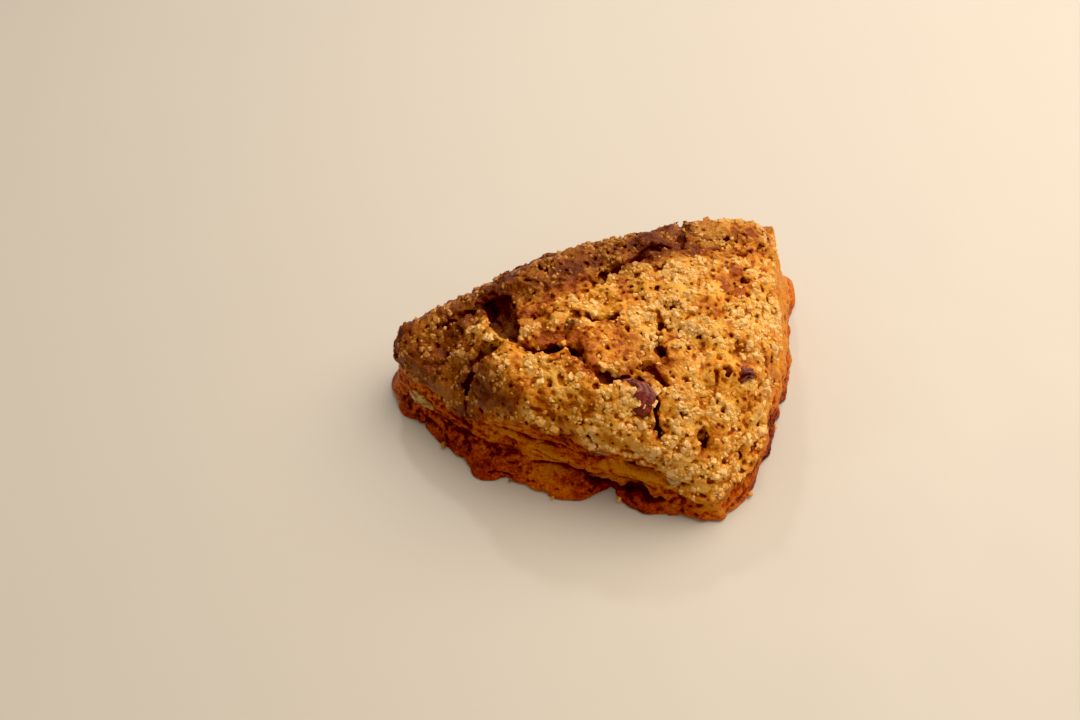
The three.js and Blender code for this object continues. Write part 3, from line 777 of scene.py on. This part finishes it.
def crust_material():
    n = Nodes("baked crust")
    crusty, toast, tone = map(n.attribute, ("crusty", "toast", "tone"))
    # How low a place lies at two reaches, and how far below the plain form: these carry the painted shade
    # below.
    pit, hollow, sunk = map(n.attribute, ("pit", "hollow", "sunk"))

    # Pinholes: in some cells of a cell pattern, a dark dot of painted shade in an orange stain.
    chosen = n.span(n.noise(5.0, 2), 0.4, 0.6, 0.3, 0.65)
    pick = n.math("LESS_THAN", n.channel(n.cells(1.7, "Color")), chosen)
    away = n.cells(1.7)
    hole = n.math("MULTIPLY", n.span(away, 0.3, 0.16), pick)
    stain = n.math("MULTIPLY", n.span(away, 0.75, 0.2), pick)

    # Sugared crust: golden, orange where it lies bare, brown where it baked longest. Low places are more
    # orange, partly as bare dough and partly as painted shade.
    bare = n.math("ADD", tone, n.span(n.noise(1.1, 3), 0.3, 0.7, -0.14, 0.14))
    bare = n.math("ADD", bare, n.math("MULTIPLY", stain, 0.25))
    # Low places more orange: partly bare dough, partly painted shade.
    bare = n.math("ADD", bare, n.span(pit, 0.04, -0.14, 0.0, 0.5), True)
    golden = n.ramp(bare, CRUST_COLOURS)
    brown = n.ramp(bare, BROWNED_COLOURS)
    crust = n.mix(toast, golden, brown)
    # Painted shade darkens the pinholes.
    crust = n.mix(n.math("MULTIPLY", hole, 0.9), crust, PINHOLE_SHADE_COLOUR)

    # Sides: browned layers, darker and redder towards the foot, with painted shade in creases and painted
    # light on ridges.
    streaks = n.noise(4, 6, 0.72, (1, 1, 1.6), 0.3)
    depth = n.math("ADD", toast, n.span(streaks, 0.3, 0.72, 0.22, -0.22))
    depth = n.math("ADD", depth, n.span(n.noise(0.55, 3, 0.7), 0.36, 0.64, 0.14, -0.14))
    # Painted shade in creases and painted light on ridges.
    depth = n.math("ADD", depth, n.span(pit, -0.12, 0.15, 0.26, -0.18), True)
    colour = n.mix(crusty, n.ramp(depth, SIDE_COLOURS), crust)
    # Painted shade: darker the deeper a place lies below the plain form, as in cracks.
    shade = n.math("MULTIPLY", n.span(sunk, 0.7, 2.3), 0.9)
    colour = n.mix(shade, colour, SUNK_SHADE_COLOUR)
    # Painted shade in broad hollows.
    colour = n.mix(n.math("MULTIPLY", n.span(hollow, 0.0, -0.6), 0.45), colour, HOLLOW_SHADE_COLOUR)
    specks = n.span(n.noise(0.6, 2), 0.64, 0.72)
    colour = n.mix(n.math("MULTIPLY", specks, 0.5), colour, SPECK_COLOUR)

    grain = n.math("SUBTRACT", n.noise(0.45, 3, 0.6), n.math("MULTIPLY", n.cells(0.8), 0.8))
    grain = n.math("SUBTRACT", grain, n.math("MULTIPLY", hole, 1.2))
    crumb = n.math("MULTIPLY", n.noise(0.5, 4, 0.75), n.span(crusty, 0.7, 0.2, 0.0, 2.2))
    grain = n.math("ADD", grain, crumb)
    n.shade(Base_Color=colour, Normal=n.bump(grain, 0.35, 0.9))
    n.shade(Roughness=n.span(n.noise(0.7, 2), 0.35, 0.65, 0.18, 0.6))
    n.soften(0.25, 0.8, (1.0, 0.4, 0.1))
    n.shade(Specular_IOR_Level=0.3)
    return n.material


def sugar_material():
    n = Nodes("coarse sugar")
    toast, tone = n.attribute("toast"), n.attribute("tone")
    colour = n.mix(toast, n.ramp(tone, SUGAR_COLOURS), n.ramp(tone, BROWNED_SUGAR_COLOURS))
    n.shade(Base_Color=colour, Roughness=0.26, IOR=1.45)
    n.soften(0.35, 0.4, (1.0, 0.9, 0.8))
    n.shade(Normal=n.bump(n.noise(0.3, 2), 0.08, 0.6))
    return n.material


def berry_material():
    n = Nodes("dried berry")
    folds = n.noise(1.6, 4, 0.6, (1, 1, 1), 0.8)
    n.shade(Base_Color=n.ramp(folds, BERRY_COLOURS), Roughness=n.span(n.noise(0.8, 2), 0.3, 0.7, 0.18, 0.42))
    n.soften(0.25, 1.2, (1.0, 0.15, 0.1))
    n.shade(Coat_Weight=0.3, Coat_Roughness=0.15)
    n.shade(Normal=n.bump(n.noise(0.7, 3, 0.6, (1, 1, 1), 0.5), 0.3, 0.9, n.bump(folds, 0.4, 0.8)))
    return n.material


def nut_material():
    n = Nodes("nut")
    flesh = n.ramp(n.noise(2.2, 4, 0.6), NUT_COLOURS)
    skin = n.span(n.noise(3.0, 3, 0.5, (1, 1, 3)), 0.5, 0.62)
    n.shade(Base_Color=n.mix(n.math("MULTIPLY", skin, 0.7), flesh, NUT_SKIN_COLOUR))
    n.shade(Roughness=n.span(n.noise(0.7, 2), 0.3, 0.7, 0.4, 0.62))
    n.soften(0.15, 0.8, (1.0, 0.2, 0.1))
    n.shade(Normal=n.bump(n.noise(0.5, 3), 0.15, 0.6))
    return n.material


# ---- dough


# Zones that baked more or less, the front's partly as painted shade: where each sets in and is whole, and its
# slant.
BROWN_TIP = (-40, -26, 0.5)
# The front's extra browning is partly real and partly painted shade, for a slab that faces away from the
# light.
BROWN_AND_SHADED_FRONT = (-6, -24, -0.25)
FRONT_END = (18, 30, 0)
BROWN_BACK = (3, 12, -0.36)
BACK_END = (14, 34, 0)
PALE_RIGHT = (28, 46, 0.35)
PALE_RISE = (5, 9)
OUTER_SIDE = (38, 48, 0)
OUTER_BACK = (-6, 8)
HIGH_SIDE = (0.4, 0.7)
FOOT_BROWN = 5.5
# The front's extra bareness, more orange, is partly painted shade too.
BARE_AND_SHADED_FRONT = (-8, -16, -0.25)
BARE_FRONT_END = (8, -2, 0)

# How much each adds to the browning of the crust, of the side, and to the bareness of the crust.
# The crust's front share of browning is partly painted shade.
CRUST_TOAST = SimpleNamespace(tip=1.05, front=0.22, back=1.0, back_end=0.6, patches=0.3)
SIDE_TOAST = SimpleNamespace(
    plain=0.34, foot=0.4, high=0.05, layers=0.12, patches=0.55, right=0.22, outer=0.3, pale_crumb=0.6
)
# The front share of bareness is partly painted shade.
TONE = SimpleNamespace(plain=0.38, front=0.12, patches=0.8, rim=0.28)

# Where the crust browned more: place, span and by how much.
BROWNER = [((-14, -7), 9, 0.35), ((9, 7), 9, 0.25), ((29, 16), 8, 0.2)]
PALE_CRUMB = ((5.7, -32.4, 10.8), 3.0)  # crumb laid bare on the side: place and span
PALE_FLATNESS = 3  # its height weighs this many times more


def zone(limits, along, aside):
    low, high, slant = limits
    return smooth(low, high, along + slant * aside)


def toast_at(x, y, z, crusty):
    """How browned the surface is, from 0 to 1; at the front the crust's browning is partly painted shade."""
    patches = octaves(x, y, z, TOAST_PATCHES)
    weigh = CRUST_TOAST
    tip = 1 - zone(BROWN_TIP, x, y)
    # Browner at the front, partly as painted shade.
    front = zone(BROWN_AND_SHADED_FRONT, y, x) * (1 - zone(FRONT_END, x, y))
    back = zone(BROWN_BACK, y, x) * (1 - weigh.back_end * zone(BACK_END, x, y))
    crust = weigh.tip * tip + weigh.front * front + weigh.back * back + weigh.patches * patches

    weigh = SIDE_TOAST
    high = smooth(*HIGH_SIDE, z / HEIGHT)
    layers = noise(x, y, z, *BROWN_LAYERS)
    side = weigh.plain + weigh.foot * bell(z, FOOT_BROWN) - weigh.high * high + weigh.layers * layers
    side = side + weigh.patches * patches
    side = side - weigh.right * zone(PALE_RIGHT, x, y) * smooth(*PALE_RISE, z)
    side = side - weigh.outer * zone(OUTER_SIDE, x, y) * smooth(*OUTER_BACK, y)
    (px, py, pz), span = PALE_CRUMB
    away = np.sqrt((x - px) ** 2 + (y - py) ** 2 + PALE_FLATNESS * (z - pz) ** 2)
    side = side - weigh.pale_crumb * bell(away, span)
    return np.clip(lerp(side, crust, crusty), 0, 1)


def browner_at(x, y):
    return sum(more * bell(np.hypot(x - at[0], y - at[1]), span) for at, span, more in BROWNER)


def tone_at(x, y, z):
    """How bare of sugar the crust is, from 0 to 1: patches a few millimetres wide, and more at the front,
    partly as painted shade.
    """
    # More bare at the front, partly as painted shade.
    front = zone(BARE_AND_SHADED_FRONT, y, x) * zone(BARE_FRONT_END, x, y)
    wide = octaves(x, y, z, TONE_PATCHES)
    return np.clip(TONE.plain + TONE.front * front + TONE.patches * wide, 0, 1)


def make_dough():
    dough = Dough()
    body = mesh_object("scone_crumb", *dough.surface())
    reduce_to(body, MOST_TRIANGLES)
    at = points_of(body)
    # How low each place lies at two reaches, for painted shade in the colour and for where sugar lies.
    near, wide = (blurred(dough.field, reach) for reach in (PIT_SCALE, HOLLOW_SCALE))
    crusty, rim, pit, hollow, inward = (
        sample(field, dough.grid, at) for field in (dough.crusty, dough.rim, near, wide, dough.plain)
    )
    toast = np.clip(toast_at(*at.T, crusty) + crusty * browner_at(*at.T[:2]), 0, 1)
    tone = np.clip(tone_at(*at.T) + TONE.rim * rim * crusty, 0, 1)
    set_attributes(body, crusty=crusty, toast=toast, rim=rim, tone=tone, pit=pit, hollow=hollow, sunk=-inward)
    dress(body, "scone", crust_material())
    return body


# ---- sugar


# Kinds of crystal: name, how many places are tried, how far apart they lie, sizes, and the share sunk in.
SUGAR = (
    ("sugar_coarse", 6_000, 1.9, (1.2, 2.1), 0.8),
    ("sugar_medium", 14_000, 1.1, (0.8, 1.4), 0.74),
    ("sugar_fine", 24_000, 0.8, (0.4, 0.8), 0.62),
)
MOST_GRAINS = 4300  # of one kind
CRUMB_SIZES, CRUMB_SINK = (0.9, 1.5), 0.2
LOOSE_SIZES, LOOSE_SINK = (1.5, 2.2), 0.4
BEVEL = 0.2
GRAIN_SIDES = (0.7, 1.15)  # a crystal's sides, as shares of its size
GRAIN_CORNERS = (0.76, 1.16)  # how far its corners lie from its middle, as shares
GRAIN_LIFT = (0.6, 1.4)  # how far it stands out, as a share of the usual
GRAIN_TONE = (-0.16, 0.14)  # how much less bare than the crust it looks: mean and spread
GRAIN_TOAST_SPREAD = 0.08


def crystal():
    """A cube with its edges cut off, as corner points and triangles."""
    bm = bmesh.new()
    bmesh.ops.create_cube(bm, size=1.0)
    bmesh.ops.bevel(bm, geom=bm.edges[:] + bm.verts[:], offset=BEVEL, segments=1, affect="EDGES")
    bmesh.ops.triangulate(bm, faces=bm.faces[:])
    bm.verts.index_update()
    points = np.array([v.co[:] for v in bm.verts])
    # bmesh gives the same triangles each time, but in no fixed order.
    numbers = ([v.index for v in f.verts] for f in bm.faces)
    faces = np.array(sorted(np.roll(n, -np.argmin(n)).tolist() for n in numbers))
    bm.free()
    return points, faces


def turns(rng, count):
    """Random turns, as count matrices of 3 by 3."""
    w, x, y, z = (q := rng.normal(size=(4, count))) / np.linalg.norm(q, axis=0)
    rows = [
        [1 - 2 * (y * y + z * z), 2 * (x * y - z * w), 2 * (x * z + y * w)],
        [2 * (x * y + z * w), 1 - 2 * (x * x + z * z), 2 * (y * z - x * w)],
        [2 * (x * z - y * w), 2 * (y * z + x * w), 1 - 2 * (x * x + y * y)],
    ]
    return np.array(rows).transpose(2, 0, 1)


def strewn(body, rng, tries, spacing, density):
    """Places on the body, chosen by area and by density, a share from 0 to 1, at least a spacing apart."""
    corners = read(body.data.loops, "vertex_index", np.int32).reshape(-1, 3)
    a, b, c = points_of(body)[corners.T]
    normal = np.cross(b - a, c - a)
    area = np.linalg.norm(normal, axis=1)
    pick = rng.choice(len(area), tries, p=area / area.sum())
    u, v = rng.random((2, tries, 1))
    flip = u + v > 1
    u, v = np.where(flip, 1 - u, u), np.where(flip, 1 - v, v)
    place = a[pick] + u * (b - a)[pick] + v * (c - a)[pick]
    outward = normal[pick] / area[pick, None]
    keep = rng.random(tries) < density(place, outward, corners[pick, 0])
    place, outward = place[keep], outward[keep]
    cell = np.floor(place / spacing).astype(np.int64) @ [1, 10_000, 100_000_000]  # one number for each cell
    _, first = np.unique(cell, return_index=True)
    return place[first], outward[first]


def grains(name, places, outward, rng, sizes, sink, material):
    """One piece of crystals of irregular shape, each sunk by a share of its size where it lies."""
    points, faces = crystal()
    count = len(places)
    size = rng.uniform(*sizes, (count, 1, 1)) * rng.uniform(*GRAIN_SIDES, (count, 1, 3))
    shaped = points[None] * size * rng.uniform(*GRAIN_CORNERS, (count, len(points), 1))
    turned = np.einsum("nij,npj->npi", turns(rng, count), shaped)
    lift = (0.5 - sink) * size.mean(axis=2) * rng.uniform(*GRAIN_LIFT, (count, 1))
    moved = turned + (places + outward * lift)[:, None]
    held = np.all((moved > BOX[0] + BOX_MARGIN) & (moved < BOX[1] - BOX_MARGIN), axis=(1, 2))
    moved, places, count = moved[held], places[held], int(held.sum())
    numbered = faces[None] + len(points) * np.arange(count)[:, None, None]
    piece = mesh_object(name, moved.reshape(-1, 3), numbered.reshape(-1, 3), flat=True)
    tone = tone_at(*places.T) + rng.normal(*GRAIN_TONE, count)
    toast = toast_at(*places.T, np.ones(count)) + browner_at(*places.T[:2])
    toast = toast + rng.normal(0, GRAIN_TOAST_SPREAD, count)
    tone, toast = (np.repeat(np.clip(values, 0, 1), len(points)) for values in (tone, toast))
    set_attributes(piece, tone=tone, toast=toast)
    dress(piece, "scone", material)


def add_sugar(body, material):
    looks = body.data.attributes
    crusty, pit, sunk, rim = (read(looks[name].data, "value") for name in ("crusty", "pit", "sunk", "rim"))

    def density(place, outward, corner):
        """More on the crust's level, high and pale places, in clusters."""
        x, y, z = place.T
        share = smooth(0.35, 0.8, crusty[corner]) * smooth(-0.2, 0.25, outward[:, 2])
        share *= smooth(-0.25, -0.02, pit[corner]) * smooth(2.0, 0.9, sunk[corner]) * (1 - 0.5 * rim[corner])
        share *= lerp(1.0, 0.12, smooth(0.25, 0.65, tone_at(x, y, z)))
        share *= smooth(-0.55, 0.35, noise(x, y, z, *SUGAR_CLUSTERS))
        return share * (1 - 0.55 * toast_at(x, y, z, 1.0))

    rng = np.random.default_rng(11)
    for name, tries, spacing, sizes, sink in SUGAR:
        place, outward = strewn(body, rng, tries, spacing, density)
        if len(place) > MOST_GRAINS:
            chosen = rng.permutation(len(place))[:MOST_GRAINS]
            place, outward = place[chosen], outward[chosen]
        grains(name, place, outward, rng, sizes, sink, material)


def settled(body, places):
    """The points of the body's surface nearest to these places, and the way out of the surface there."""
    at = points_of(body)
    outward = read(body.data.vertex_normals, "vector", each=3).reshape(-1, 3)
    nearest = [np.argmin(np.linalg.norm(at - place, axis=1)) for place in places]
    return at[nearest], outward[nearest]


def add_crumbs(body, material):
    """Crumbs that fell beside the foot and lean on it, and crystals that came loose from the crust."""
    rng = np.random.default_rng(3)
    places, outward = settled(body, CRUMBS)
    places[:, 2] = np.maximum(places[:, 2], CRUMB_HEIGHT)
    grains("crumbs", places, outward, rng, CRUMB_SIZES, CRUMB_SINK, material)
    grains("sugar_loose", *settled(body, LOOSE_SUGAR), rng, LOOSE_SIZES, LOOSE_SINK, material)


# ---- berries and nuts


# Lumps: node, path, radius, flatness of the section, and seed.
BERRIES = (
    ("berry_front",
     [(6.2, -25.6, 29.2), (8.8, -24.2, 29.6), (11.4, -25.2, 29), (12.2, -27.6, 27.6), (10.8, -29.4, 26)],
     2.4, 0.85, 3),
    ("berry_crack", [(-3.2, -17.2, 29.4), (-0.9, -18.6, 30.4), (1.4, -20.4, 29.4)], 1.8, 1.0, 5),
    ("berry_outer", [(33.6, -18.6, 26.4), (35.8, -18, 27.2), (37.6, -17.4, 26.2)], 1.5, 0.8, 7),
)
NUTS = (
    ("nut_tip", [(-47, -8, 6.4), (-44, -10.8, 8), (-40.4, -13, 6.6)], 2.1, 1.1, 13),
    ("nut_front", [(0.6, -31.6, 16.8), (4.5, -32.6, 17), (8.2, -33.2, 16.6)], 1.5, 0.8, 17),
    ("nut_corner", [(18.8, -36.2, 8.8), (19.6, -36.8, 11.4), (20.2, -36.6, 14)], 1.7, 1.0, 19),
)

# How deep the wrinkles are, their size round the lump and along it, and how blunt its ends are: 1 is round.
BERRY_FORM = SimpleNamespace(wrinkle=0.5, folds=(1.1, 1.1, 0.7), blunt=0.5)
NUT_FORM = SimpleNamespace(wrinkle=0.3, folds=(1.2, 1.2, 0.8), blunt=0.35)
BALL_LEVEL = 5
WRINKLES_ROUND = 3  # noise is read on a circle, or a ball, of this radius
DIMPLES = (1.0, 0.5)  # size, and depth as a share of the wrinkles'
WAIST = (0.7, 0.22)  # size and height of the slow changes in girth


def lump(path, radius, flatten, form, seed):
    """Points and faces of a lump drawn along a path of points: round in section, with folds along it."""
    bm = bmesh.new()
    bmesh.ops.create_icosphere(bm, subdivisions=BALL_LEVEL, radius=1)
    ball = np.array([v.co[:] for v in bm.verts])
    faces = np.array([[v.index for v in f.verts] for f in bm.faces])
    bm.free()
    dense = curve(path, False, LINE_STEPS)
    share = (ball[:, 0] + 1) / 2 * (len(dense) - 1.001)
    i = share.astype(int)
    middle = lerp(dense[i], dense[i + 1], (share - i)[:, None])
    ahead = np.gradient(dense, axis=0)[i]
    ahead /= np.linalg.norm(ahead, axis=1, keepdims=True)
    across = np.cross(ahead, [0, 0, 1.0])
    across /= np.linalg.norm(across, axis=1, keepdims=True)
    up = np.cross(across, ahead)
    girth = np.sqrt(np.maximum(1 - ball[:, 0] ** 2, 0)) ** form.blunt
    angle = np.arctan2(ball[:, 2], ball[:, 1])
    along = share / LINE_STEPS
    round_it = WRINKLES_ROUND * np.cos(angle), WRINKLES_ROUND * np.sin(angle)
    (dimple, depth), (waist, swell) = DIMPLES, WAIST
    creases = noise(*round_it, along, form.folds, seed + 1)
    dimples = noise(*(ball * WRINKLES_ROUND).T, dimple, seed + 2)
    uneven = 1 + form.wrinkle * creases + depth * form.wrinkle * dimples
    uneven = uneven + swell * noise(along, 0, 0, waist, seed + 3)
    r = radius * girth * uneven
    sideways, upwards = r * np.cos(angle), r * flatten * np.sin(angle)
    return middle + across * sideways[:, None] + up * upwards[:, None], faces


def add_lumps(lumps, form, material):
    for node, path, radius, flatten, seed in lumps:
        piece = mesh_object(node + "_skin", *lump(path, radius, flatten, form, seed))
        dress(piece, node, material)


sugar = sugar_material()
body = make_dough()
add_sugar(body, sugar)
add_crumbs(body, sugar)
add_lumps(BERRIES, BERRY_FORM, berry_material())
add_lumps(NUTS, NUT_FORM, nut_material())

# ---- floor, light and camera

floor_mesh = bpy.data.meshes.new("floor")
bm = bmesh.new()
bmesh.ops.create_grid(bm, x_segments=1, y_segments=1, size=1.5)
bm.to_mesh(floor_mesh)
placed("floor", floor_mesh)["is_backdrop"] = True
paper = Nodes("pale floor")
paper.shade(Base_Color=(0.6, 0.575, 0.58, 1), Roughness=paper.span(paper.noise(40, 2), 0.3, 0.7, 0.5, 0.6))
floor_mesh.materials.append(paper.material)


def area_light(name, place, aim, size, watts, colour):
    light = bpy.data.lights.new(name, "AREA")
    light.shape = "DISK"
    light.size = size
    light.energy = watts
    light.color = colour
    lamp = placed(name, light)
    lamp.location = place
    lamp.rotation_euler = (Vector(aim) - lamp.location).to_track_quat("-Z", "Y").to_euler()


area_light("window", (0.34, 0.2, 0.56), (0, 0, 0.01), 0.8, 6.0, (1.0, 0.86, 0.64))
area_light("glint", (-0.1, 0.5, 0.5), (0, 0, 0.02), 0.05, 0.6, (1.0, 0.95, 0.88))
world = bpy.data.worlds.new("soft room")
world.use_nodes = True
background = world.node_tree.nodes["Background"].inputs
background["Color"].default_value = (1.0, 0.86, 0.63, 1)
background["Strength"].default_value = 0.42
bpy.context.scene.world = world
view = bpy.context.scene.view_settings
view.view_transform = "Standard"
view.use_curve_mapping = True
view.curve_mapping.black_level = (0.008, 0.008, 0.008)

CAMERA_PLACE = (9.93, -172.70, 219.24)  # millimetres, in the outline's coordinates
CAMERA_RIGHT = (0.99600, 0.06168, -0.06459)
CAMERA_UP = (-0.00646, 0.77102, 0.63678)
CAMERA_BACK = (0.08908, -0.63382, 0.76833)
camera = placed("camera", bpy.data.cameras.new("camera"))
camera.data.lens = 35
camera.data.sensor_width = 36
camera.data.clip_start = 0.01
place = [MM * (c - m) for c, m in zip(CAMERA_PLACE, (*MIDDLE, 0))]
turn = Matrix(list(zip(CAMERA_RIGHT, CAMERA_UP, CAMERA_BACK)))
camera.matrix_world = Matrix.Translation(place) @ turn.to_4x4()
bpy.context.scene.camera = camera

[[list(corner) for corner in box] for box in (cad_box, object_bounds())]
